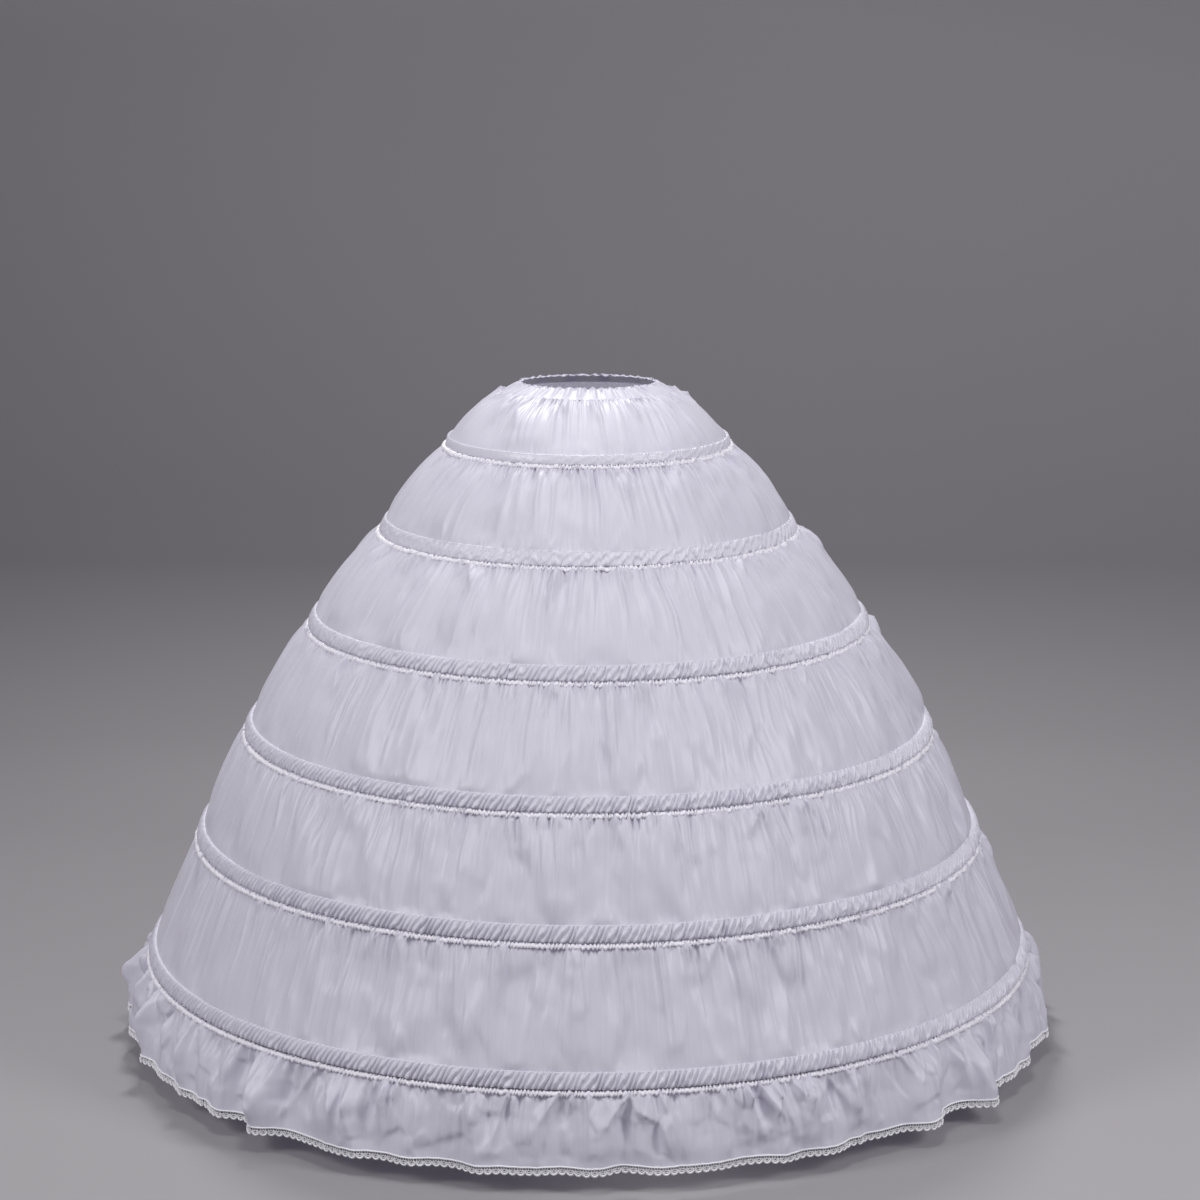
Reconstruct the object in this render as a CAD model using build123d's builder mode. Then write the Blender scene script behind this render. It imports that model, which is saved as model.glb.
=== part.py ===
from build123d import *
from math import cos, pi, sin
import os

# A white petticoat held out by six flat steel hoops.
# The origin is the middle of the waist opening, level with its top edge. +Z is up, -Y is the front.
# All sizes are in millimetres. A drop is a depth below the waist, and a reach is a distance out
# from the middle, across or front to back.

# Waist
waist_half_width = 114
waist_half_depth = 90
waist_flare = 1.9
waist_gathers = 14
waist_gather_depth = 3
waist_casing_height = 15
waist_casing_wall = 1.2
waist_casing_hem = 2
waist_slot_width = 10
elastic_thickness = 1.4

# Hoops, from the waist down
hoop_radii = [232, 341, 460, 569, 652, 738]
hoop_drops = [97, 235, 391, 569, 746, 945]
strip_width = 10
strip_thickness = 1.2
hoop_end_gap = 2
centre_back = 90

# Straight sleeve that joins the two ends of a hoop at the centre back
joiner_length = 26
joiner_wall = 0.6
joiner_clearance = 0.2
seat_clearance = 0.3

# Hollow channels of cloth that the hoops run in
channel_heights = [21, 25, 26, 26, 28, 29]
channel_sides = [24, 28, 32, 36, 40, 44]
channel_wall = 1.2
channel_slope = 4.5
feed_slot_width = 30
feed_slot_height = 8

# Gathered tiers between the channels
cloth_thickness = 1.4
tier_fold_counts = [16, 22, 28, 32, 36, 40]
tier_fold_depths = [6, 8, 9, 10, 10, 10]
tier_bulges = [11, 16, 16, 13, 12, 6]
gather_depth = 4
gather_overhang = 3
seam_inset = 2
fold_variety = 0.4
fold_beat = 2.4

# Flounce and lace below the last hoop
hem_spread = 42
hem_drop = 1080
ruffle_count = 34
ruffle_depth = 18
lace_height = 15
lace_flare = 4
lace_thickness = 1.2

# Sizes that follow from those above
bore_height = strip_width + 2 * joiner_clearance
joiner_height = bore_height + 2 * joiner_wall
elastic_room = elastic_thickness + 2 * seat_clearance
channel_tops = [drop - height / 2 for drop, height in zip(hoop_drops, channel_heights)]
channel_bottoms = [drop + height / 2 for drop, height in zip(hoop_drops, channel_heights)]
cavity_floors = [bottom - channel_slope for bottom in channel_bottoms]
joiner_sags = [joiner_length ** 2 / 8 / radius for radius in hoop_radii]
hem_radius = hoop_radii[-1] + hem_spread


def level(drop, reach_x, reach_y, depth=0):
    """The height, size and fold depth of one edge or fold line round the skirt."""
    return {"drop": drop, "reach_x": reach_x, "reach_y": reach_y, "depth": depth}


def round_level(drop, reach, depth=0):
    return level(drop, reach, reach, depth)


def waist_level(drop, inset=0):
    """A level of the flared waist, set in from the outside of the cloth."""
    spread = waist_flare * drop - inset
    return level(drop, waist_half_width + spread, waist_half_depth + spread, waist_gather_depth)


def edge_points(edge, sides, inset=0):
    """Corners round an edge, with every second one drawn in unevenly by the fold depth."""
    points = []
    for side in range(sides):
        turn = 2 * pi / sides * side
        drawn_in = edge["depth"] * (1 - fold_variety * sin(fold_beat * side)) if side % 2 else 0
        across = (edge["reach_x"] - inset - drawn_in) * cos(turn)
        along = (edge["reach_y"] - inset - drawn_in) * sin(turn)
        points.append(Vector(across, along, -edge["drop"]))
    return points


def facets_between(upper, lower):
    """Flat facets from one line of corners round the skirt to the next."""
    facets = []
    for side in range(len(upper)):
        ahead = (side + 1) % len(upper)
        crest, valley = (side, ahead) if side % 2 else (ahead, side)
        facets.append(Face(Wire.make_polygon([upper[side], upper[ahead], lower[crest]])))
        facets.append(Face(Wire.make_polygon([lower[side], lower[ahead], upper[valley]])))
    return facets


def faceted_wall(lines):
    """Facets from each line of corners to the next."""
    facets = []
    for upper, lower in zip(lines, lines[1:]):
        facets += facets_between(upper, lower)
    return facets


def cloth_ring(levels, sides, thickness):
    """A closed length of cloth: an outer wall, the same wall set in, and the two edges."""
    outer = [edge_points(edge, sides) for edge in levels]
    inner = [edge_points(edge, sides, thickness) for edge in levels]
    facets = faceted_wall(outer) + faceted_wall(inner)
    facets += facets_between(outer[0], inner[0]) + facets_between(outer[-1], inner[-1])
    return Solid(Shell(facets)).clean()


def tier(index):
    """The gathered cloth between a channel, or the waist casing, and the channel below."""
    if index == 0:
        head = waist_level(waist_casing_height)
    else:
        head_reach = hoop_radii[index - 1] + gather_overhang
        head = round_level(channel_bottoms[index - 1], head_reach, gather_depth)
    foot = round_level(channel_tops[index], hoop_radii[index] - seam_inset)
    middle = level(
        (head["drop"] + foot["drop"]) / 2,
        (head["reach_x"] + foot["reach_x"]) / 2 + tier_bulges[index],
        (head["reach_y"] + foot["reach_y"]) / 2 + tier_bulges[index],
        tier_fold_depths[index],
    )
    with BuildPart() as cloth:
        add(cloth_ring([head, middle, foot], 2 * tier_fold_counts[index], cloth_thickness))
    return cloth


def channel(index):
    """A hollow band of cloth round one hoop, open only at the slot where the hoop is fed in."""
    radius = hoop_radii[index]
    sides = channel_sides[index]
    top = channel_tops[index]
    bottom = channel_bottoms[index]
    height = bottom - top - 2 * channel_slope
    flat_share = cos(pi / sides)
    cavity_back = radius - joiner_half(index) - seat_clearance
    cavity_front = (radius + joiner_half(index) + seat_clearance) / flat_share
    back = cavity_back - channel_wall
    front = cavity_front + channel_wall / flat_share
    profile = [(top, back), (top + channel_slope, front), (bottom - channel_slope, front), (bottom, back)]
    lines = [edge_points(round_level(drop, reach), sides) for drop, reach in profile]
    with BuildPart() as band:
        add(Solid(Shell(faceted_wall(lines + lines[:1]))).clean())
        with BuildSketch(Plane.XY.offset(-cavity_floors[index])):
            RegularPolygon(cavity_front, sides)
            RegularPolygon(cavity_back, sides, mode=Mode.SUBTRACT)
        extrude(amount=height, mode=Mode.SUBTRACT)
        with Locations((0, back, -hoop_drops[index])):
            Box(feed_slot_width, 2 * (radius - back), feed_slot_height, mode=Mode.SUBTRACT)
    return band


def joiner_half(index):
    """Half the depth of a sleeve that takes the slight bend of the hoop inside it."""
    return (strip_thickness + joiner_sags[index]) / 2 + joiner_clearance + joiner_wall


def joiner(index):
    """A straight flat sleeve pressed round both ends of a hoop."""
    middle = hoop_radii[index] - joiner_sags[index] / 2
    half = joiner_half(index)
    with BuildPart() as sleeve:
        with Locations((0, middle, -cavity_floors[index] + seat_clearance + joiner_height / 2)):
            Box(joiner_length, 2 * half, joiner_height)
            Box(joiner_length, 2 * (half - joiner_wall), bore_height, mode=Mode.SUBTRACT)
    return sleeve


def hoop(index):
    """A steel strip bent on edge to a circle, its ends a little apart at the centre back."""
    radius = hoop_radii[index]
    opening = hoop_end_gap / radius * 180 / pi
    foot = cavity_floors[index] - seat_clearance - joiner_wall - joiner_clearance
    with BuildPart() as strip:
        with BuildSketch(Plane.XY.offset(-foot)):
            with BuildLine():
                start = centre_back + opening / 2
                inner = CenterArc((0, 0), radius - strip_thickness / 2, start, 360 - opening)
                outer = CenterArc((0, 0), radius + strip_thickness / 2, start, 360 - opening)
                Line(inner @ 0, outer @ 0)
                Line(inner @ 1, outer @ 1)
            make_face()
        extrude(amount=strip_width)
    return strip


def finish(piece, name):
    piece.part.label = name
    export_step(piece.part, f"parts/{name}.step")


os.makedirs("parts", exist_ok=True)

# Waist casing: a flared tube of cloth with a slot at the back where the elastic is fed in
casing_depth = elastic_room + 2 * waist_casing_wall
room_ends = (waist_casing_hem, waist_casing_height - waist_casing_hem)
waist_sides = 2 * waist_gathers
with BuildPart() as waist_casing:
    add(cloth_ring([waist_level(0), waist_level(waist_casing_height)], waist_sides, casing_depth))
    elastic_space = [waist_level(drop, waist_casing_wall) for drop in room_ends]
    add(cloth_ring(elastic_space, waist_sides, elastic_room), mode=Mode.SUBTRACT)
    with Locations((0, waist_half_depth, -waist_casing_height / 2)):
        Box(waist_slot_width, 2 * casing_depth, waist_casing_hem, mode=Mode.SUBTRACT)
finish(waist_casing, "waist_casing")

# Waist elastic: a flat band inside the casing
elastic_inset = waist_casing_wall + seat_clearance
elastic_levels = [
    waist_level(room_ends[0] + seat_clearance, elastic_inset),
    waist_level(room_ends[1] - seat_clearance, elastic_inset),
]
with BuildPart() as waist_elastic:
    add(cloth_ring(elastic_levels, waist_sides, elastic_thickness))
finish(waist_elastic, "waist_elastic")

for number in range(len(hoop_radii)):
    finish(tier(number), f"tier_{number + 1}")
    finish(channel(number), f"hoop_channel_{number + 1}")
    finish(hoop(number), f"hoop_{number + 1}")
    finish(joiner(number), f"hoop_joiner_{number + 1}")

# Flounce: ruffled cloth from the last channel to the lace
flounce_head = round_level(channel_bottoms[-1], hoop_radii[-1] + gather_overhang, gather_depth)
flounce_foot = round_level(hem_drop - lace_height, hem_radius - lace_flare, ruffle_depth)
with BuildPart() as flounce:
    add(cloth_ring([flounce_head, flounce_foot], 2 * ruffle_count, cloth_thickness))
finish(flounce, "flounce")

# Hem lace: a narrow band that follows the ruffles below the flounce
hem = round_level(hem_drop, hem_radius, ruffle_depth)
with BuildPart() as hem_lace:
    add(cloth_ring([flounce_foot, hem], 2 * ruffle_count, lace_thickness))
finish(hem_lace, "hem_lace")
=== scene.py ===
import math

import bpy
import numpy as np
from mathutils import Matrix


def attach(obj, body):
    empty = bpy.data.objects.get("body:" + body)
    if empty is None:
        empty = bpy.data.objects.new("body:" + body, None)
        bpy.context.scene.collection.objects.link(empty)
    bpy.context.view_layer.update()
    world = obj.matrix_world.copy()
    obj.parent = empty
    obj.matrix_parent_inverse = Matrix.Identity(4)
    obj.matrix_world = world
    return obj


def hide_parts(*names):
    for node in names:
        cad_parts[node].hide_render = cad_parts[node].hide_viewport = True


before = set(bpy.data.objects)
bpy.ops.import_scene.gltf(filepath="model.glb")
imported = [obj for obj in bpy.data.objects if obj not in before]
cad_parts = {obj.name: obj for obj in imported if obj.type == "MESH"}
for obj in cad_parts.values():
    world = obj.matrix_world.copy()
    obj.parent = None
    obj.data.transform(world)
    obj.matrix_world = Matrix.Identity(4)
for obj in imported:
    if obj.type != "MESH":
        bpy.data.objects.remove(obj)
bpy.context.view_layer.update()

# All lengths are in metres. A drop is a depth below the waist and a reach is a distance out from
# the middle. Rows of points run down the skirt and columns run round it, from the right-hand side
# towards the back.

# Sizes, as in the part

waist_half_width, waist_half_depth = 0.114, 0.090
waist_flare = 1.9
casing_height = 0.015
hoop_reaches = [0.232, 0.341, 0.460, 0.569, 0.652, 0.738]
hoop_drops = [0.097, 0.235, 0.391, 0.569, 0.746, 0.945]
channel_heights = [0.021, 0.025, 0.026, 0.026, 0.028, 0.029]
lace_drop, lace_reach = 1.065, 0.776

# Node trees


class Amount:
    """A socket that can be used in plain arithmetic."""

    def __init__(self, graph, socket):
        self.graph, self.socket = graph, socket

    def worked(self, operation, *amounts):
        return self.graph.add("ShaderNodeMath", {"operation": operation}, dict(enumerate(amounts)))

    def __add__(self, other):
        return self.worked("ADD", self, other)

    def __sub__(self, other):
        return self.worked("SUBTRACT", self, other)

    def __rsub__(self, other):
        return self.worked("SUBTRACT", other, self)

    def __mul__(self, other):
        return self.worked("MULTIPLY", self, other)

    def __truediv__(self, other):
        return self.worked("DIVIDE", self, other)

    def __rtruediv__(self, other):
        return self.worked("DIVIDE", other, self)

    def __pow__(self, other):
        return self.worked("POWER", self, other)

    __radd__, __rmul__ = __add__, __mul__

    def size(self):
        return self.worked("ABSOLUTE", self)

    def sine(self):
        return self.worked("SINE", self)

    def cosine(self):
        return self.worked("COSINE", self)

    def at_least(self, other):
        return self.worked("MAXIMUM", self, other)

    def at_most(self, other):
        return self.worked("MINIMUM", self, other)


class Graph:
    """One node tree, with one way to add any node to it."""

    def __init__(self, tree):
        self.tree = tree

    def add(self, kind, settings=None, sockets=None, out=0):
        """A new node's output. Settings are set first, then each socket's value or link."""
        node = self.tree.nodes.new(kind)
        for name, value in (settings or {}).items():
            if name == "stops":
                ramp = node.color_ramp.elements
                while len(ramp) < len(value):
                    ramp.new(1.0)
                for stop, (place, shade) in zip(ramp, value):
                    stop.position, stop.color = place, (shade, shade, shade, 1)
            else:
                setattr(node, name, value)
        for name, value in (sockets or {}).items():
            self.join(node.inputs[name], value)
        return Amount(self, node.outputs[out])

    def join(self, socket, value):
        if isinstance(value, Amount):
            self.tree.links.new(value.socket, socket)
        else:
            socket.default_value = value

    def vector(self, x, y, z):
        return self.add("ShaderNodeCombineXYZ", None, {"X": x, "Y": y, "Z": z})

    def parts(self, vector):
        split = self.add("ShaderNodeSeparateXYZ", None, {"Vector": vector}).socket.node
        return [Amount(self, output) for output in split.outputs]

    def noise(self, place, scale, detail=2.0, roughness=0.5):
        return self.add(
            "ShaderNodeTexNoise",
            None,
            {"Vector": place, "Scale": scale, "Detail": detail, "Roughness": roughness},
        )

    def bump(self, height, strength, distance, **under):
        return self.add(
            "ShaderNodeBump", None, {"Strength": strength, "Distance": distance, "Height": height, **under}
        )


class Shaping(Graph):
    """A geometry tree with named inputs. It ends in Realize Instances and Set Material."""

    def __init__(self, name, inputs):
        super().__init__(bpy.data.node_groups.new(name, "GeometryNodeTree"))
        face = self.tree.interface
        face.new_socket("Geometry", in_out="INPUT", socket_type="NodeSocketGeometry")
        face.new_socket("Geometry", in_out="OUTPUT", socket_type="NodeSocketGeometry")
        for title, value in inputs.items():
            kind = "NodeSocketInt" if isinstance(value, int) else "NodeSocketFloat"
            face.new_socket(title, in_out="INPUT", socket_type=kind).default_value = value
        face.new_socket("Material", in_out="INPUT", socket_type="NodeSocketMaterial")
        self.start = self.tree.nodes.new("NodeGroupInput")

    def given(self, title):
        return Amount(self, self.start.outputs[title])

    def place(self):
        return self.add("GeometryNodeInputPosition")

    def move(self, geometry, position):
        return self.add("GeometryNodeSetPosition", None, {"Geometry": geometry, "Position": position})

    def keep(self, geometry, title, vector):
        """Stores a vector on the corners' points for the material to read."""
        node = {"data_type": "FLOAT_VECTOR", "domain": "POINT"}
        return self.add(
            "GeometryNodeStoreNamedAttribute", node, {"Geometry": geometry, "Name": title, "Value": vector}
        )

    def finish(self, geometry):
        real = self.add("GeometryNodeRealizeInstances", None, {"Geometry": geometry})
        smooth = self.add("GeometryNodeSetShadeSmooth", None, {"Geometry": real})
        done = self.add(
            "GeometryNodeSetMaterial", None, {"Geometry": smooth, "Material": self.given("Material")}
        )
        end = self.tree.nodes.new("NodeGroupOutput")
        self.tree.links.new(done.socket, end.inputs[0])
        return self.tree


def shaped(name, base, tree, material, sizes=None):
    """The plain mesh that a geometry tree makes from a base mesh, as an object."""
    thing = bpy.data.objects.new(name, base)
    bpy.context.scene.collection.objects.link(thing)
    modifier = thing.modifiers.new("shape", "NODES")
    modifier.node_group = tree
    values = {**(sizes or {}), "Material": material}
    for item in tree.interface.items_tree:
        if item.in_out == "INPUT" and item.name in values:
            modifier[item.identifier] = values[item.name]
    depsgraph = bpy.context.evaluated_depsgraph_get()
    made = bpy.data.meshes.new_from_object(
        thing.evaluated_get(depsgraph), preserve_all_data_layers=True, depsgraph=depsgraph
    )
    thing.modifiers.remove(modifier)
    thing.data = made
    made.name = name
    made.materials.clear()
    made.materials.append(material)
    bpy.data.meshes.remove(base)
    return thing


# Finishes


def finish_shader(name, colour, roughness, **constants):
    """A material with one Principled shader; its constants go on the shader's own sockets."""
    material = bpy.data.materials.new(name)
    material.use_nodes = True
    graph = Graph(material.node_tree)
    shader = material.node_tree.nodes["Principled BSDF"]
    shader.inputs["Base Color"].default_value = (*colour, 1)
    shader.inputs["Roughness"].default_value = roughness
    for title, value in constants.items():
        shader.inputs[title.replace("_", " ").title().replace("Ior", "IOR")].default_value = value
    return material, graph, shader


def tinted(graph, share, start, end):
    """A colour between two others, which is the second one at a share of 1."""
    return graph.add(
        "ShaderNodeMix",
        {"data_type": "RGBA"},
        {"Factor": share, 6: (*start, 1), 7: (*end, 1)},
        out=2,
    )


thread_pitch, rib_pitch = 0.00042, 0.0014


def taffeta(name, light, dark, place_name, streaks=1.0, dullest=0.33, through=0.22):
    """Satin-faced woven lining cloth: crossed threads, uneven warp streaks and a soft sheen."""
    material, graph, shader = finish_shader(
        name, light, 0.40, sheen_weight=0.12, sheen_roughness=0.4, specular_ior_level=0.42
    )
    if place_name == "Cloth":
        place = graph.add("ShaderNodeUVMap", {"uv_map": "Cloth"})
    else:
        place = graph.add("ShaderNodeAttribute", {"attribute_name": place_name}, out=1)
    across, down, _ = graph.parts(place)
    thread = 2 * math.pi / thread_pitch
    warp = (across * thread).sine()
    weft = (down * thread).sine()
    weave = (warp * weft) * 0.5 + 0.5
    slubs = graph.noise(graph.vector(across * 260, down * 5, 0), 1.0, 3.0, 0.6)
    patches = graph.noise(graph.vector(across * 22, down * 9, 0), 1.0, 2.0)
    share = (slubs - 0.5) * (0.9 * streaks) + (patches - 0.5) * 0.5 + 0.62
    shade = tinted(graph, share, dark, light)
    graph.join(shader.inputs["Base Color"], shade)
    graph.join(shader.inputs["Roughness"], slubs * 0.14 + dullest)
    fine = graph.bump(weave, 0.10, 0.0001)
    streak_bump = graph.bump(slubs, 0.35 * streaks, 0.0008, Normal=fine)
    graph.join(shader.inputs["Normal"], streak_bump)
    glow = graph.add("ShaderNodeBsdfTranslucent", None, {"Color": shade, "Normal": streak_bump})
    thin = graph.add(
        "ShaderNodeMixShader", None, {"Fac": through, 1: Amount(graph, shader.outputs[0]), 2: glow}
    )
    graph.join(material.node_tree.nodes["Material Output"].inputs["Surface"], thin)
    return material


def lace_thread():
    """Matte twisted cotton thread."""
    material, graph, shader = finish_shader(
        "lace thread", (0.94, 0.94, 0.97), 0.6, sheen_weight=0.25, specular_ior_level=0.3
    )
    place = graph.add("ShaderNodeTexCoord", None, None, out=3)
    lumps = graph.noise(place, 900.0, 2.0)
    graph.join(shader.inputs["Base Color"], tinted(graph, lumps, (0.88, 0.88, 0.92), (0.98, 0.98, 1.0)))
    graph.join(shader.inputs["Normal"], graph.bump(lumps, 0.5, 0.0004))
    return material


def sewing_thread():
    """Fine spun polyester, twisted."""
    material, graph, shader = finish_shader(
        "sewing thread", (0.86, 0.86, 0.90), 0.45, specular_ior_level=0.5
    )
    place = graph.add("ShaderNodeTexCoord", None, None, out=3)
    twist = graph.noise(place, 2500.0, 1.0)
    graph.join(shader.inputs["Base Color"], tinted(graph, twist, (0.76, 0.76, 0.82), (0.90, 0.90, 0.94)))
    return material


def knitted_elastic():
    """Ribbed elastic with rubber cores under a white knit, painted darker in the hollows between its ribs as
    shade.
    """
    material, graph, shader = finish_shader("knitted elastic", (0.8, 0.8, 0.8), 0.75)
    place = graph.add("ShaderNodeTexCoord", None, None, out=3)
    across, _, up = graph.parts(place)
    ribs = (up * (2 * math.pi / rib_pitch)).sine() * 0.5 + 0.5
    fuzz = graph.noise(place, 1200.0)
    # The knit's colour is painted shade in the hollows between the ribs, with its own fuzzy tone on top.
    graph.join(
        shader.inputs["Base Color"],
        tinted(graph, ribs * 0.7 + fuzz * 0.3, (0.62, 0.62, 0.63), (0.84, 0.84, 0.84)),
    )
    graph.join(shader.inputs["Normal"], graph.bump(ribs, 0.6, 0.0004))
    return material


def coated_steel():
    """White plastic coat over flat spring steel, faintly rippled by the dipping."""
    material, graph, shader = finish_shader("coated steel", (0.86, 0.86, 0.86), 0.3, coat_weight=0.3)
    place = graph.add("ShaderNodeTexCoord", None, None, out=3)
    ripple = graph.noise(place, 60.0)
    graph.join(shader.inputs["Base Color"], tinted(graph, ripple, (0.80, 0.80, 0.79), (0.90, 0.90, 0.90)))
    graph.join(shader.inputs["Roughness"], ripple * 0.2 + 0.22)
    graph.join(shader.inputs["Normal"], graph.bump(ripple, 0.2, 0.0006))
    return material


def crimped_steel():
    """Zinc-plated sheet steel, brushed along the strip."""
    material, graph, shader = finish_shader("crimped steel", (0.6, 0.6, 0.61), 0.35, metallic=1.0)
    place = graph.add("ShaderNodeTexCoord", None, None, out=3)
    across, along, up = graph.parts(place)
    brush = graph.noise(graph.vector(across * 40, along * 40, up * 3000), 1.0, 2.0)
    graph.join(shader.inputs["Base Color"], tinted(graph, brush, (0.50, 0.50, 0.51), (0.68, 0.68, 0.69)))
    graph.join(shader.inputs["Roughness"], brush * 0.3 + 0.22)
    return material


cloth_light, cloth_dark = (0.80, 0.785, 0.885), (0.70, 0.685, 0.80)
# The turned edge's two colours are painted highlight: both are lighter than the skirt's own cloth, so that
# the seam ridges read as bright lines.
edge_light_painted_brighter, edge_dark_painted_brighter = (0.92, 0.905, 0.97), (0.86, 0.84, 0.93)
skirt_cloth = taffeta("white taffeta", cloth_light, cloth_dark, "Cloth")
# The channel cloth's light colour is painted light: a little lighter than the tiers' own cloth, for the
# bands' brighter faces.
channel_cloth_painted_lighter = taffeta(
    "channel taffeta", (0.82, 0.805, 0.90), cloth_dark, "cloth_place", streaks=0.5, dullest=0.24, through=0.14
)
edge_cloth_painted_brighter = taffeta(
    "turned edge", edge_light_painted_brighter, edge_dark_painted_brighter, "cloth_place", streaks=0.5, dullest=0.24, through=0.05
)
lace_finish = lace_thread()
thread_finish = sewing_thread()
elastic_finish = knitted_elastic()

# Cloth


def ramp(values, length):
    """Rises smoothly from 0 to 1 over a length."""
    share = np.clip(values / length, 0, 1)
    return share * share * (3 - 2 * share)


def fold_noise(shape, size, across, along, seed, spread=0.3):
    """Random height, even round the ring: ridges about `across` apart that run `along` down it."""
    rows, columns = shape
    tall = 3 * rows
    draw = np.random.default_rng(seed).standard_normal((tall, columns))
    down_waves = np.fft.fftfreq(tall, d=3 * size[0] / tall)[:, None]
    round_waves = np.abs(np.fft.fftfreq(columns, d=size[1] / columns))[None, :]
    round_band = np.exp(-(((round_waves * across - 1) / spread) ** 2) / 2)
    down_band = np.exp(-((down_waves * along) ** 2) * 2)
    field = np.fft.ifft2(np.fft.fft2(draw) * (round_band * down_band)).real[:rows]
    return field / field.std()


def shifted(field, shift):
    """The field with each row's columns moved by a number of columns that may vary."""
    rows, columns = field.shape
    place = np.arange(columns)[None, :] + shift
    low = np.floor(place).astype(int)
    part = place - low
    pick = np.arange(rows)[:, None]
    return field[pick, low % columns] * (1 - part) + field[pick, (low + 1) % columns] * part


def crest(field, sharpness):
    """Makes the tops of folds narrow and their hollows broad."""
    shaped_field = np.exp(sharpness * np.clip(field, -2.5, 2.5)) - 1
    return (shaped_field - shaped_field.mean()) / shaped_field.std()


def crumple(shape, size, cell, seed, tall=1.6, softness=0.16):
    """Flat facets that meet in creases, as in crushed taffeta, even round the ring."""
    rows, columns = shape
    down_size, round_size = size
    rng = np.random.default_rng(seed)
    across_count = max(3, int(round(round_size / cell)))
    down_count = max(1, int(round(down_size / (cell * tall)))) + 2
    grid = (down_count, across_count)
    x = (np.arange(across_count)[None, :] + rng.uniform(-0.5, 0.5, grid)) / across_count
    y = (np.arange(down_count)[:, None] - 0.5 + rng.uniform(-0.5, 0.5, grid)) / (down_count - 2)
    slope_x = rng.normal(0, 1.0, x.shape)
    slope_y = rng.normal(0, 0.6, x.shape)
    lift = rng.normal(0, 0.25, x.shape)
    u = np.arange(columns)[None, :] / columns
    v = np.linspace(0, 1, rows)[:, None]
    total, height = np.zeros(shape), np.zeros(shape)
    cells = zip(*(field.ravel() for field in (x, y, slope_x, slope_y, lift)))
    for cell_x, cell_y, tilt_x, tilt_y, rise in cells:
        near = np.abs((u[0] - cell_x + 0.5) % 1 - 0.5) * round_size < 2.2 * cell
        dx = (((u[0, near] - cell_x + 0.5) % 1 - 0.5) * round_size / cell)[None, :]
        dy = (v - cell_y) * down_size / (cell * tall)
        weight = np.exp(-(dx * dx + dy * dy) / softness)
        height[:, near] += weight * (tilt_x * dx + tilt_y * dy + rise)
        total[:, near] += weight
    height /= np.maximum(total, 1e-9)
    return height / height.std()


def tucks(
    shape, size, gap, length, seed, width=0.0022, spread=0.13, lean=0.22, turned=0.25, upward=False, edge=1.6
):
    """Small pleats that start at the seam, each with its own length, and widen as they run on.

    The spread is what the width gains with each metre, and the lean is the usual slant. A share
    `turned` of the pleats goes inwards. The lower the edge, the sharper the crests.
    """
    rows, columns = shape
    down_size, round_size = size
    rng = np.random.default_rng(seed)
    height = np.zeros(shape)
    down = np.linspace(0, down_size, rows)[:, None]
    if upward:
        down = down_size - down
    step = round_size / columns
    for middle in rng.uniform(0, round_size, int(round_size / gap)):
        reach = length * rng.uniform(0.35, 1.5)
        slant = rng.normal(0, lean)
        strength = rng.uniform(0.4, 1.2) * (-0.7 if rng.random() < turned else 1)
        last = min(reach, down_size)
        half = int((abs(slant) * last + 2.2 * (width + spread * last)) / step) + 4
        pick = (int(middle / step) + np.arange(-half, half + 1)) % columns
        away = np.arange(-half, half + 1)[None, :] * step - slant * down
        fade = np.clip(1 - down / reach, 0, 1) ** 0.8 * (0.35 + 0.65 * ramp(down, 0.010))
        height[:, pick] += strength * fade * np.exp(-np.abs(away / (width + spread * down)) ** edge)
    return height


def sheet_mesh(name, places, flat_round, flat_down, material, tube=False):
    """A cloth layer through rows of places round the skirt, marked in metres of flat cloth.

    The last row of a tube joins its first.
    """
    rows, columns = places.shape[:2]
    steps = rows if tube else rows - 1
    mesh = bpy.data.meshes.new(name)
    row, column = np.meshgrid(np.arange(steps), np.arange(columns), indexing="ij")
    below, ahead = (row + 1) % rows, (column + 1) % columns
    faces = np.stack(
        [row * columns + column, below * columns + column, below * columns + ahead, row * columns + ahead],
        axis=-1,
    ).reshape(-1, 4)
    mesh.from_pydata(places.reshape(-1, 3).tolist(), [], faces.tolist())
    right = np.stack([column, column, column + 1, column + 1], axis=-1).reshape(-1)
    low = np.stack([row, row + 1, row + 1, row], axis=-1).reshape(-1)
    marks = np.stack([right / columns * flat_round, -low / steps * flat_down], axis=-1)
    mesh.uv_layers.new(name="Cloth").data.foreach_set("uv", marks.ravel())
    mesh.materials.append(material)
    mesh.shade_smooth()
    thing = bpy.data.objects.new(name, mesh)
    bpy.context.scene.collection.objects.link(thing)
    return thing


def turns(columns):
    """The angle of each column round the skirt."""
    return np.arange(columns)[None, :] * (2 * math.pi / columns)


def round_places(turn, reach_x, reach_y, drop, out, down=0.0):
    """Places round the skirt, moved out from the middle and down by the folds."""
    x = (reach_x + out) * np.cos(turn)
    y = (reach_y + out) * np.sin(turn)
    return np.stack(np.broadcast_arrays(x, y, -(drop + down)), axis=-1)


def waist_reaches(drop):
    """How far out the flared waist lies, across and front to back."""
    return waist_half_width + waist_flare * drop, waist_half_depth + waist_flare * drop


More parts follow.
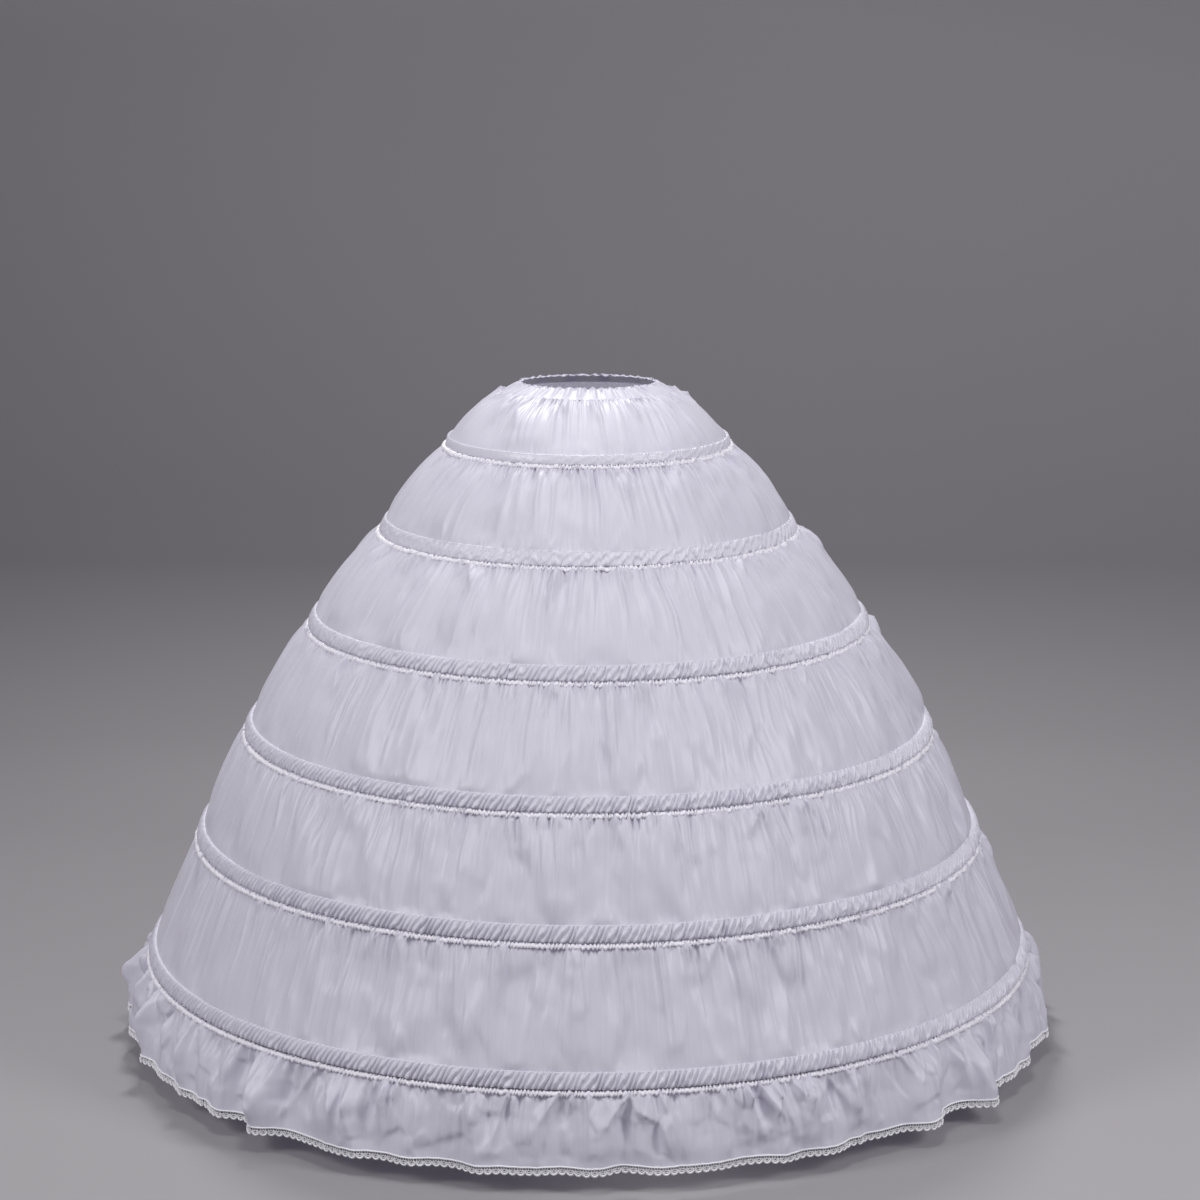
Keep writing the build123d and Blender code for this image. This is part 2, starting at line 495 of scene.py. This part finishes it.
# The tiers' meshes, seams and folds
column_step, row_step = 0.0016, 0.0065
casing_lap, seam_lap, foot_lap, foot_inset = 0.001, 0.002, 0.003, 0.0035
seam_outs = [0.0012, 0.0030, 0.0050, 0.0050, 0.0050, 0.0050]
tier_fullness = [0.013, 0.012, 0.012, 0.008, 0.007, 0.001]
fold_gaps = [0.020, 0.024, 0.026, 0.028, 0.028, 0.030]
fold_heights = [0.0014, 0.0040, 0.0040, 0.0034, 0.0028, 0.0028]
crumple_heights = [0.0002, 0.0015, 0.0017, 0.0022, 0.0026, 0.0030]
gather_height, foot_gather_height, fine_height = 0.0020, 0.0005, 0.0017
crease_height, swell_height, waist_tuck_height = 0.0030, 0.0017, 0.0018
fan_height, low_fan_height = 0.0095, 0.0024
gather_share, seam_allowance = 1.12, 0.02

# The direction in which the crushed side of the skirt faces, in degrees from its right-hand side
crushed_side = -55


def tier(index):
    """One gathered length of cloth from the seam above to the channel below."""
    if index == 0:
        top_drop = casing_height - casing_lap
        top_x, top_y = (reach + seam_outs[0] for reach in waist_reaches(top_drop))
    else:
        top_drop = hoop_drops[index - 1] + channel_heights[index - 1] / 2 - seam_lap
        top_x = top_y = hoop_reaches[index - 1] + seam_outs[index]
    foot_drop = hoop_drops[index] - channel_heights[index] / 2 + foot_lap
    foot = hoop_reaches[index] - foot_inset
    down_size = math.hypot(foot_drop - top_drop, foot - top_x)
    round_size = 2 * math.pi * (top_x + foot) / 2
    rows = int(down_size / row_step) + 1
    columns = int(round_size / column_step)
    shape, size = (rows, columns), (down_size, round_size)
    seed = 100 * (index + 1)

    share = np.linspace(0, 1, rows)[:, None] ** 1.15
    down = share * down_size
    up = down_size - down
    turn = turns(columns)
    wander = fold_noise(shape, size, 0.30, 0.30, seed + 1, spread=0.5)
    wander = wander * 0.006 / column_step * ramp(down, 0.10)

    def pleats(gap, length, number, **form):
        return tucks(shape, size, gap, length, seed + number, **form)

    gathers = crest(fold_noise(shape, size, 0.0085, 0.05, seed + 2), 0.5)
    fine = pleats(0.0085, 0.9 * down_size, 3, width=0.0023, spread=0.007, lean=0.02, turned=0.4)
    folds = pleats(fold_gaps[index], 1.1 * down_size, 4, width=0.0050, spread=0.022, lean=0.04, turned=0.3)
    swells = fold_noise(shape, size, 0.16, 0.35, seed + 5, spread=0.4)
    facets = crumple(shape, size, 0.050, seed + 6, tall=2.0)
    small_facets = crumple(shape, size, 0.024, seed + 7)
    fans = pleats(0.026, 0.050, 8, width=0.0018, spread=0.17, edge=1.15)
    low_fans = pleats(0.032, 0.030, 9, upward=True)
    creases = pleats(0.045, 1.2 * down_size, 11, width=0.0017, spread=0.003, lean=0.05, turned=0.0, edge=1.2)

    side = np.cos(turn - math.radians(crushed_side))
    right = ramp(side + 0.5, 1.2)
    crushed = (0.25 + 0.75 * right) * (0.55 + 0.45 * ramp(down, 0.08))
    held = ramp(down, 0.012) * ramp(up, 0.010)
    smooth_foot = ramp(up, 0.04)
    bold = 0.85 + 0.85 * np.sin(turn) ** 2
    out = gather_height * gathers * np.exp(-down / 0.013) * ramp(up, 0.02)
    out += fine_height * bold * shifted(fine, wander) * ramp(down, 0.006) * smooth_foot
    out += fold_heights[index] * bold * shifted(folds, wander) * ramp(down, 0.03) * smooth_foot
    out += crease_height * bold * shifted(creases, wander) * (1 - 0.3 * right) * ramp(up, 0.02)
    out += swell_height * swells * ramp(down, 0.05) * ramp(up, 0.04)
    out += crumple_heights[index] * crushed * held * (0.8 * facets + 0.25 * small_facets)
    out += fan_height * fans * (0.35 + 0.85 * right) * ramp(up, 0.02) * (0.3 + 0.7 * ramp(down, 0.012))
    out += low_fan_height * low_fans * (0.4 + 0.6 * right) * ramp(down, 0.02) * ramp(up, 0.004)
    out += foot_gather_height * gathers * np.exp(-up / 0.008) * ramp(up, 0.003)
    if index == 0:
        front = np.exp(-(((turn / math.pi - 1.5) / 0.22) ** 2))
        waist_tucks = pleats(0.013, 0.030, 721, spread=0.06, lean=0.1, turned=0.4, edge=1.2)
        out += waist_tuck_height * front * waist_tucks

    full = tier_fullness[index] * np.sin(math.pi * share ** 0.85) ** 0.8
    reach_x = top_x + (foot - top_x) * share + full
    reach_y = top_y + (foot - top_y) * share + full
    drop = top_drop + (foot_drop - top_drop) * share
    lean = (foot - top_x) / down_size
    places = round_places(turn, reach_x, reach_y, drop, out, -out * lean * 0.6)
    cut = (round_size * gather_share, down_size + seam_allowance)
    thing = sheet_mesh(f"tier_{index + 1}_cloth", places, *cut, skirt_cloth)
    return thing, cut


settling_frames = 26


def settled(start, rest, grip):
    """Lets a closed length of cloth buckle towards its longer flat size and returns its places.

    The top row is sewn fast. The bottom row is held only loosely, by the grip.
    """
    rows, columns = start.shape[:2]
    cloth = sheet_mesh("settling cloth", start, 1.0, 1.0, skirt_cloth)
    cloth.shape_key_add(name="Basis")
    cloth.shape_key_add(name="flat size").data.foreach_set("co", rest.ravel())
    sewn = cloth.vertex_groups.new(name="sewn")
    sewn.add(list(range(columns)), 1.0, "REPLACE")
    sewn.add(list(range((rows - 1) * columns, rows * columns)), grip, "REPLACE")
    modifier = cloth.modifiers.new("cloth", "CLOTH")
    settings = modifier.settings
    settings.quality, settings.mass = 5, 0.03
    settings.tension_stiffness = settings.compression_stiffness = 20
    settings.shear_stiffness, settings.bending_stiffness = 6, 0.03
    settings.air_damping = 2
    settings.vertex_group_mass = "sewn"
    settings.rest_shape_key = cloth.data.shape_keys.key_blocks["flat size"]
    settings.effector_weights.gravity = 0
    modifier.collision_settings.use_collision = False
    modifier.collision_settings.use_self_collision = False
    modifier.point_cache.frame_start, modifier.point_cache.frame_end = 1, settling_frames + 1
    scene = bpy.context.scene
    for step in range(settling_frames):
        scene.frame_set(step + 1)
    settled_mesh = cloth.evaluated_get(bpy.context.evaluated_depsgraph_get()).to_mesh()
    places = np.empty(rows * columns * 3)
    settled_mesh.vertices.foreach_get("co", places)
    scene.frame_set(1)
    bpy.data.objects.remove(cloth)
    return places.reshape(rows, columns, 3)


def finer(field, rows, columns):
    """The field with more rows and columns, smooth in between and even round the ring."""
    few_rows, few_columns = field.shape
    waves = np.fft.rfft(field, axis=1) * (columns / few_columns)
    field = np.fft.irfft(waves, n=columns, axis=1)
    place = np.linspace(0, few_rows - 1, rows)
    low = np.clip(place.astype(int), 0, few_rows - 2)
    part = (place - low)[:, None]
    before, after = field[np.maximum(low - 1, 0)], field[np.minimum(low + 2, few_rows - 1)]
    first, second = field[low], field[low + 1]
    rising, falling = (second - before) / 2, (after - first) / 2
    cube, square = part ** 3, part ** 2
    return (
        (2 * cube - 3 * square + 1) * first
        + (cube - 2 * square + part) * rising
        + (3 * square - 2 * cube) * second
        + (cube - square) * falling
    )


# The flounce's mesh and folds
flounce_row_step, flounce_column_step = 0.0036, 0.0022
settling_shape = (18, 620)
flounce_lap, lace_lap, flounce_seam_out, flounce_belly = 0.001, 0.002, 0.0050, 0.004
flounce_fullness, flounce_down_share = 1.11, 1.05
puff_height, ruffle_height, ruffle_share = 0.0090, 0.0022, 1.2
facet_height, small_facet_height = 0.0026, 0.0015
tube_height, flounce_fan_height, pinch_height = 0.0210, 0.0160, 0.0042
flounce_fine_height, seam_dip = 0.0014, 0.001


def flounce():
    """The loosely gathered length below the last hoop, puffed out and crushed."""
    top_drop = hoop_drops[-1] + channel_heights[-1] / 2 - flounce_lap
    top = hoop_reaches[-1] + flounce_seam_out
    foot_drop = lace_drop + lace_lap
    down_size = math.hypot(foot_drop - top_drop, lace_reach - top)
    round_size = 2 * math.pi * lace_reach

    def base(rows, columns):
        share = np.linspace(0, 1, rows)[:, None]
        reach = top + (lace_reach - top) * share + flounce_belly * np.sin(math.pi * share)
        return share, turns(columns), reach, top_drop + (foot_drop - top_drop) * share

    few = settling_shape
    size = (down_size, round_size)
    share, turn, reach, drop = base(*few)
    ruffles = fold_noise(few, size, 0.021, 0.10, 901) * ramp(share, 0.12) * np.exp(-share / 0.45)
    puffs = crest(fold_noise(few, size, 0.140, 0.22, 902, spread=0.40), 0.45)
    puffs = puffs * ramp(share, 0.55) * (1 - 0.35 * share)
    out = ruffle_height * ruffles + puff_height * puffs
    angle, down = np.zeros(few), np.zeros(few)
    start = round_places(turn, reach, reach, drop, out)
    middle = (top_drop + foot_drop) / 2
    rest_reach = reach * flounce_fullness
    rest_drop = middle + (drop - middle) * flounce_down_share
    places = settled(start, round_places(turn, rest_reach, rest_reach, rest_drop, 0.0), 0.5)
    out = np.hypot(places[..., 0], places[..., 1]) - reach
    angle = (np.arctan2(places[..., 1], places[..., 0]) - turn + math.pi) % (2 * math.pi) - math.pi
    down = -places[..., 2] - drop

    shape = (int(down_size / flounce_row_step) + 1, int(round_size / flounce_column_step))
    out, angle, down = (finer(field, *shape) for field in (out, angle, down))
    share, turn, reach, drop = base(*shape)
    below = share * down_size
    above = down_size - below
    facets = crumple(shape, size, 0.060, 905, tall=1.4, softness=0.055)
    small_facets = crumple(shape, size, 0.030, 906, tall=1.3, softness=0.08)
    fans = tucks(shape, size, 0.026, 0.095, 907, width=0.0020, spread=0.19, lean=0.35, edge=1.1)
    pinches = tucks(shape, size, 0.014, 0.028, 908, width=0.0018, spread=0.12, lean=0.25, edge=1.3)
    fine = crest(fold_noise(shape, size, 0.0085, 0.03, 904), 0.5)
    tubes = tucks(
        shape, size, 0.036, 0.300, 909, width=0.0050, spread=0.14, lean=0.16, turned=0.4, edge=1.4
    )
    out = out * ruffle_share + facet_height * facets * ramp(below, 0.05) * ramp(above, 0.05)
    out += tube_height * tubes * ramp(below, 0.05) * (1 - 0.5 * ramp(below, down_size))
    out += small_facet_height * small_facets * ramp(below, 0.03) * ramp(above, 0.02)
    out += flounce_fan_height * fans * ramp(above, 0.03)
    out -= seam_dip * ramp(below, 0.01) * np.exp(-below / 0.03)
    out += pinch_height * pinches * ramp(below, 0.004)
    out += flounce_fine_height * fine * np.exp(-below / 0.012)
    places = round_places(turn + angle, reach, reach, drop, out, down)
    cut = (round_size * flounce_fullness, down_size * flounce_down_share + seam_allowance)
    thing = sheet_mesh("flounce_cloth", places, *cut, skirt_cloth)
    return thing, cut, places[-1]


# Channels, lace and stitches

# How square a channel's section is, how far its middle stands out, and how much it sags below that
channel_squareness, channel_belly, channel_sag = 0.6, 0.72, 0.28
channel_swell = 0.0014


def channel_shaping():
    """A cloth tube round a hoop, drawn up on its stitching into slanting puckers."""
    shape = Shaping(
        "puckered channel",
        {
            "Radius": 0.5,
            "Drop": 0.5,
            "Half height": 0.013,
            "Front": 0.0085,
            "Back": 0.0035,
            "Tilt": 0.4,
            "Lean": 0.0,
            "Puckers": 200,
            "Slant": 0.75,
            "Depth": 0.001,
            "Evenness": 0.4,
            "Unevenness": 2.2,
            "Quiet side": 0.0,
            "Frill": 0.0014,
            "Columns": 1500,
            "Rows": 20,
            "Seed": 0.0,
        },
    )
    radius, drop, half = (shape.given(title) for title in ("Radius", "Drop", "Half height"))
    grid = shape.add(
        "GeometryNodeMeshGrid",
        None,
        {
            "Size X": 1.0,
            "Size Y": 1.0,
            "Vertices X": shape.given("Columns"),
            "Vertices Y": shape.given("Rows"),
        },
    )
    across, along, _ = shape.parts(shape.place())
    turn = (across + 0.5) * (2 * math.pi)
    even_angle = along * (2 * math.pi)
    angle = even_angle - even_angle.sine() * 0.35
    side, rise = angle.cosine(), angle.sine()
    facing = side.at_least(0.0) ** channel_squareness
    behind = (side * -1.0).at_least(0.0) ** channel_squareness
    roll = facing * (channel_belly - rise * channel_sag)
    round_place = shape.vector(turn.cosine(), turn.sine(), shape.given("Seed"))
    wobble = shape.noise(round_place, 34.0, 2.0)
    strong = shape.noise(round_place, 21.0, 3.0, 0.6)
    swell = shape.noise(round_place, 5.0, 1.0)
    slanted = across * shape.given("Puckers") - rise * shape.given("Slant")
    phase = slanted + wobble * shape.given("Unevenness")
    ridge = (phase * math.pi).sine().size() ** 3.0
    calm = (turn.cosine() * -1.0 + 0.2).at_least(0.0).at_most(1.0) * shape.given("Quiet side")
    quiet = turn.cosine().at_least(0.0) * 0.6 + 1 - calm
    drawn = ((strong - 0.5) * 2.6 * (1 - shape.given("Evenness")) + 0.75).at_least(0.08)
    lift = (ridge - 0.35) * shape.given("Depth") * drawn * quiet * facing
    shear = rise * shape.given("Tilt") * half
    section = roll * shape.given("Front") - behind * shape.given("Back") - shear
    body = section - turn.cosine() * shape.given("Lean")
    reach = radius + (body + lift + (swell - 0.5) * facing * channel_swell)
    frill = (ridge - 0.4) * shape.given("Frill") * drawn * quiet
    height = rise * (half + frill) - drop
    marked = shape.keep(grid, "cloth_place", shape.vector(turn * radius, angle * half, 0.0))
    tube = shape.move(marked, shape.vector(turn.cosine() * reach, turn.sine() * reach, height))
    joined = shape.add("GeometryNodeMergeByDistance", None, {"Geometry": tube, "Distance": 0.00001})
    return shape.finish(joined)


def lace_shaping():
    """Looped scallops hung from a beaded braid along the hem."""
    shape = Shaping(
        "scalloped lace", {"Scallops": 424, "Scallop reach": 0.0058, "Thread": 0.0018, "Beads": 1500}
    )
    line = shape.add("GeometryNodeMeshToCurve", None, {"Mesh": shape.given("Geometry")})

    def thread(curve, radius, sides):
        ring = shape.add("GeometryNodeCurvePrimitiveCircle", None, {"Resolution": sides, "Radius": radius})
        return shape.add("GeometryNodeCurveToMesh", None, {"Curve": curve, "Profile Curve": ring})

    def loop(reach, steps, radius, drop, depth):
        """A half ring of thread that hangs below a height."""
        arc = shape.add(
            "GeometryNodeCurveArc",
            None,
            {"Resolution": steps, "Radius": reach, "Start Angle": math.pi, "Sweep Angle": math.pi},
        )
        x, y, _ = shape.parts(shape.place())
        hung = shape.move(arc, shape.vector(x, 0.0, y * depth - drop))
        return thread(hung, radius, 4)

    def bar(x, top, foot_x, foot, radius):
        """A straight thread between two heights."""
        run = shape.add(
            "GeometryNodeCurvePrimitiveLine", None, {"Start": (x, 0.0, -top), "End": (foot_x, 0.0, -foot)}
        )
        return thread(run, radius, 3)

    reach = shape.given("Scallop reach")
    inner, bridge, fine_thread, finest_thread = 0.0050, 0.0059, 0.0007, 0.0006
    parts = [loop(reach, 9, shape.given("Thread"), 0.0052, 1.15)]
    parts += [loop(reach * 0.52, 7, fine_thread, inner, 1.1)]
    parts += [bar(x, 0.0, x + 0.0012, inner, fine_thread) for x in (-0.0052, -0.0014, 0.0024)]
    parts += [bar(x, 0.0056, 2.1 * x, 0.0104 - 260 * x * x, finest_thread) for x in (-0.0016, 0.0016)]
    parts += [bar(-bridge, 0.0049, bridge, 0.0049, fine_thread)]
    motif = shape.add("GeometryNodeJoinGeometry")
    for part in parts:
        shape.tree.links.new(part.socket, motif.socket.node.inputs[0])
    spaced = shape.add("GeometryNodeResampleCurve", None, {"Curve": line, "Count": shape.given("Scallops")})
    tangent = shape.add("GeometryNodeInputTangent")
    turned = shape.add(
        "FunctionNodeAlignRotationToVector", {"axis": "X", "pivot_axis": "Z"}, {"Vector": tangent}
    )
    scallops = shape.add(
        "GeometryNodeInstanceOnPoints", None, {"Points": spaced, "Instance": motif, "Rotation": turned}
    )
    fine = shape.add("GeometryNodeResampleCurve", None, {"Curve": line, "Count": shape.given("Beads") * 3})
    beat = shape.add("GeometryNodeInputIndex") * (2 * math.pi / 3)
    beaded = shape.add(
        "GeometryNodeSetCurveRadius", None, {"Curve": fine, "Radius": beat.cosine() * 0.35 + 1.0}
    )
    braid = thread(beaded, 0.0013, 5)
    both = shape.add("GeometryNodeJoinGeometry")
    for part in (scallops, braid):
        shape.tree.links.new(part.socket, both.socket.node.inputs[0])
    return shape.finish(both)


def stitch_shaping():
    """A row of lockstitches along each seam line."""
    shape = Shaping("lockstitching", {"Pitch": 0.0034, "Stitch length": 0.0024, "Thread": 0.00032})
    line = shape.add("GeometryNodeMeshToCurve", None, {"Mesh": shape.given("Geometry")})
    spaced = shape.add(
        "GeometryNodeResampleCurve", {"mode": "LENGTH"}, {"Curve": line, "Length": shape.given("Pitch")}
    )
    stitch = shape.add(
        "GeometryNodeMeshCylinder",
        {"fill_type": "TRIANGLE_FAN"},
        {"Vertices": 4, "Radius": shape.given("Thread"), "Depth": shape.given("Stitch length")},
    )
    tangent = shape.add("GeometryNodeInputTangent")
    turned = shape.add("FunctionNodeAlignRotationToVector", {"axis": "Z"}, {"Vector": tangent})
    rows = shape.add(
        "GeometryNodeInstanceOnPoints", None, {"Points": spaced, "Instance": stitch, "Rotation": turned}
    )
    return shape.finish(rows)


def line_mesh(name, lines):
    """Closed lines of points as one mesh of edges."""
    mesh = bpy.data.meshes.new(name)
    points, edges, start = [], [], 0
    for line in lines:
        count = len(line)
        points += np.asarray(line).tolist()
        edges += [(start + k, start + (k + 1) % count) for k in range(count)]
        start += count
    mesh.from_pydata(points, edges, [])
    return mesh


def ring_line(reach, drop, count):
    """Evenly spaced places on a level ring round the skirt."""
    return round_places(turns(count)[0], reach, reach, drop, 0.0)


# The pieces

channel_tree, lace_tree, stitch_tree = channel_shaping(), lace_shaping(), stitch_shaping()

ridge_outs = [0.0048, 0.0074, 0.0074, 0.0074, 0.0072, 0.0064]
ridge_drops = [-0.0010, 0.0014, 0.0022, 0.0024, 0.0024, 0.0022]
ridge_pucker_gap, ridge_column_step = 0.0062, 0.0012


def seam_ridge(index):
    """The turned edge of the gathered cloth, a thin crinkled ridge under a channel, in cloth painted lighter
    as a highlight.
    """
    reach = hoop_reaches[index] + ridge_outs[index]
    ridge = shaped(
        f"seam_ridge_{index + 1}",
        bpy.data.meshes.new("start"),
        channel_tree,
        edge_cloth_painted_brighter,
        {
            "Radius": reach,
            "Drop": hoop_drops[index] + channel_heights[index] / 2 + ridge_drops[index],
            "Half height": 0.0036,
            "Front": 0.0062,
            "Back": 0.0014,
            "Frill": 0.0042,
            "Tilt": 0.0,
            "Lean": 0.0010,
            "Puckers": int(2 * math.pi * reach / ridge_pucker_gap),
            "Slant": 0.25,
            "Depth": 0.0038,
            "Unevenness": 4.0,
            "Evenness": 0.1,
            "Columns": int(2 * math.pi * reach / ridge_column_step),
            "Rows": 8,
            "Seed": 40.0 + 3.0 * index,
        },
    )
    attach(ridge, "root")
    return ridge


for index in range(6):
    cloth, cut = tier(index)
    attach(cloth, "root")
    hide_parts(f"tier_{index + 1}")
    [seam_ridge(index - 1)] if index else []

puckers = [60, 110, 290, 370, 430, 480]
pucker_depths = [0.0012, 0.0034, 0.0064, 0.0070, 0.0070, 0.0066]
quiet_sides = [0.9, 0.3, 0.2, 0.1, 0.0, 0.0]
channel_fronts = [0.0053, 0.0046, 0.0062, 0.0066, 0.0068, 0.0068]
channel_tilts = [0.06, 0.36, 0.30, 0.26, 0.22, 0.20]
band_halves = [0.0082, 0.0112, 0.0115, 0.0115, 0.0125, 0.0125]
band_rise, band_column_step, band_fullness = 0.0010, 0.00105, 1.05
band_drops = [drop - band_rise for drop in hoop_drops]
for index in range(6):
    reach, drop, half = hoop_reaches[index], band_drops[index], band_halves[index]
    columns = int(2 * math.pi * reach / band_column_step)
    band = shaped(
        f"hoop_channel_{index + 1}_cloth",
        bpy.data.meshes.new("start"),
        channel_tree,
        channel_cloth_painted_lighter,
        {
            "Radius": reach,
            "Drop": drop,
            "Half height": half,
            "Front": channel_fronts[index],
            "Tilt": channel_tilts[index],
            "Puckers": puckers[index],
            "Depth": pucker_depths[index],
            "Quiet side": quiet_sides[index],
            "Columns": columns + 1,
            "Seed": 3.0 * index,
        },
    )
    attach(band, "root")
    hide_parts(f"hoop_channel_{index + 1}")

skirt_flounce, flounce_cut, hem_line = flounce()
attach(skirt_flounce, "root")
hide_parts("flounce")
seam_ridge(5)

lace = shaped("hem_lace_trim", line_mesh("hem line", [hem_line + [0, 0, 0.001]]), lace_tree, lace_finish)
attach(lace, "root")
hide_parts("hem_lace")

# The waist casing's puffs and the frill above them
casing_puff_height, casing_gather_height, casing_swell_height = 0.0017, 0.0007, 0.0006
heading_height, heading_frill_height = 0.0036, 0.0016


def waist_band():
    """The elastic casing: a flat tube of cloth, drawn up by the elastic into soft puffs."""
    columns, rows = 900, 28
    turn = turns(columns)
    angle = np.arange(rows)[:, None] * (2 * math.pi / rows)
    rise = np.sign(np.cos(angle)) * np.abs(np.cos(angle)) ** 0.7
    side = np.sign(np.sin(angle)) * np.abs(np.sin(angle)) ** 0.6
    outside = np.clip(side, 0, 1)
    shape, size = (rows, columns), (0.04, 0.68)
    puffs = crest(fold_noise(shape, size, 0.016, 0.5, 801, 0.25), 0.3)
    gathers = crest(fold_noise(shape, size, 0.0075, 0.1, 802, 0.3), 0.4)
    swells = fold_noise(shape, size, 0.06, 0.5, 803)
    half = casing_height / 2
    drop = half * (1 - rise) + 0.0004
    middle = np.where(side > 0, 0, -0.0040)
    held = 0.1 + 0.9 * ramp(rise + 1, 1.3)
    puffed = casing_puff_height * puffs + casing_gather_height * gathers + casing_swell_height * swells
    out = middle + 0.0006 * side + outside * held * puffed
    edge = np.clip(rise, 0, 1) ** 4
    return round_places(turn, *waist_reaches(drop), drop, out, -0.0009 * puffs * edge)


band = sheet_mesh("waist_casing_cloth", waist_band(), 0.95, 0.042, skirt_cloth, tube=True)
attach(band, "root")
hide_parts("waist_casing")


def heading():
    """A small frill that stands up above the casing's top stitching."""
    columns, rows = 1200, 6
    turn = turns(columns)
    share = np.linspace(0, 1, rows)[:, None]
    shape, size = (rows, columns), (0.006, 0.66)
    frills = fold_noise(shape, size, 0.011, 0.05, 811, 0.25)
    rise = heading_height * (1 + 0.25 * fold_noise(shape, size, 0.015, 1.0, 812, 0.4)) * (1 - share)
    drop = 0.0026 - rise
    out = heading_frill_height * frills * (1 - share) ** 0.7 + 0.0004
    reach_x = waist_half_width + 0.0004 * share
    reach_y = waist_half_depth + 0.0004 * share
    return round_places(turn, reach_x, reach_y, drop, out)


frill = sheet_mesh("waist_heading", heading(), 0.95, 0.008, skirt_cloth)
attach(frill, "root")


seam_line_rise, seam_line_lift, seam_line_step = 0.93, 0.0004, 0.02


def seam_lines():
    """The lines of stitching just inside both edges of each channel."""
    lines = []
    for index in range(6):
        half = band_halves[index]
        for rise in (seam_line_rise, -seam_line_rise):
            roll = (1 - rise * rise) ** (channel_squareness / 2) * (channel_belly - channel_sag * rise)
            out = roll * channel_fronts[index] - rise * channel_tilts[index] * half + seam_line_lift
            count = int(2 * math.pi * hoop_reaches[index] / seam_line_step)
            lines.append(ring_line(hoop_reaches[index] + out, band_drops[index] - rise * half, count))
    return lines


stitches = shaped("seam_stitches", line_mesh("seams", seam_lines()), stitch_tree, thread_finish)
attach(stitches, "root")


def refinish(node, finish):
    """Gives a hidden CAD piece its own finish."""
    bpy.data.objects[node].data.materials.clear()
    bpy.data.objects[node].data.materials.append(finish)


steel, joint_steel = coated_steel(), crimped_steel()
for number in range(1, 7):
    refinish(f"hoop_{number}", steel)
    refinish(f"hoop_joiner_{number}", joint_steel)
refinish("waist_elastic", elastic_finish)

# Room, light and camera

# The paper's two colours carry its own mottled tone and painted light and shade.
pale_paper_and_painted_light, dark_paper_and_painted_shade = (0.50, 0.476, 0.504), (0.215, 0.211, 0.221)


def studio_sweep():
    """A floor that curves up into a backdrop."""
    near, far, side, floor, radius, top = -8.0, 5.8, 9.0, -1.109, 1.6, 6.0
    line = [(near, floor), (far - radius, floor)]
    for step in range(1, 17):
        angle = step / 16 * math.pi / 2
        line.append((far - radius + radius * math.sin(angle), floor + radius - radius * math.cos(angle)))
    line.append((far, top))
    points = [(x, y, z) for y, z in line for x in (-side, side)]
    faces = [(2 * k, 2 * k + 1, 2 * k + 3, 2 * k + 2) for k in range(len(line) - 1)]
    mesh = bpy.data.meshes.new("studio sweep")
    mesh.from_pydata(points, [], faces)
    mesh.shade_smooth()
    thing = bpy.data.objects.new("studio_sweep", mesh)
    bpy.context.scene.collection.objects.link(thing)
    material, graph, shader = finish_shader("studio paper", pale_paper_and_painted_light, 0.9, specular_ior_level=0.2)
    place = graph.add("ShaderNodeTexCoord", None, None, out=3)
    across, away, up = graph.parts(place)
    mottle = graph.noise(place, 0.8, 3.0)
    # The paper's colour is painted light and shade: darker on the floor going back behind the skirt, lighter
    # again further back, up the wall and towards the right. The mottle is the paper's own uneven tone.
    painted_far_light = ((away + 0.5) / 4.5).at_least(0.0).at_most(1.0) ** 2.5
    painted_back_shade = ((away + 0.5) / 2.5).at_least(0.0).at_most(1.0) ** 1.5
    height = (up + 1.0).at_least(0.0)
    painted_floor_shade = 0.575 + painted_back_shade * 0.24 - painted_far_light * 0.22
    share = painted_floor_shade - height * 0.37 - across * 0.070 + mottle * 0.055
    graph.join(shader.inputs["Base Color"], tinted(graph, share, pale_paper_and_painted_light, dark_paper_and_painted_shade))
    mesh.materials.append(material)
    return thing


studio_sweep()

lamp_colour = (1.0, 0.99, 0.98)


def lamp(name, place, aim, size, power):
    """A round soft lamp at a place, turned towards its aim."""
    light = bpy.data.lights.new(name, "AREA")
    light.shape = "DISK"
    light.size, light.energy, light.color = size, power, lamp_colour
    thing = bpy.data.objects.new(name, light)
    thing.location = place
    away = np.array(aim, float) - np.array(place, float)
    thing.rotation_euler = (
        math.atan2(math.hypot(away[0], away[1]), -away[2]),
        0,
        math.atan2(away[1], away[0]) - math.pi / 2,
    )
    bpy.context.scene.collection.objects.link(thing)


lamp("back overhead softbox", (-0.3, 1.9, 2.6), (-0.1, 0, -1.0), 0.8, 76)
lamp("front overhead softbox", (0, -1.6, 2.8), (0, -0.3, -0.5), 0.9, 31)
lamp("left softbox", (-2.7, -2.0, 1.3), (0, 0, -0.5), 1.2, 50)
lamp("right softbox", (2.7, -2.0, 1.3), (0, 0, -0.5), 1.2, 54)

world = bpy.data.worlds.new("room")
bpy.context.scene.world = world
world.use_nodes = True
world.node_tree.nodes["Background"].inputs["Color"].default_value = (0.92, 0.92, 1.0, 1)
world.node_tree.nodes["Background"].inputs["Strength"].default_value = 0.25

camera = bpy.data.cameras.new("camera")
camera.sensor_width, camera.lens = 36, 90
camera_place, camera_tilt = (0.020, -4.94, 0.636), 78.5
eye = bpy.data.objects.new("camera", camera)
eye.location = camera_place
eye.rotation_euler = (math.radians(camera_tilt), 0, 0)
bpy.context.scene.collection.objects.link(eye)
bpy.context.scene.camera = eye
bpy.context.scene.view_settings.view_transform = "Standard"
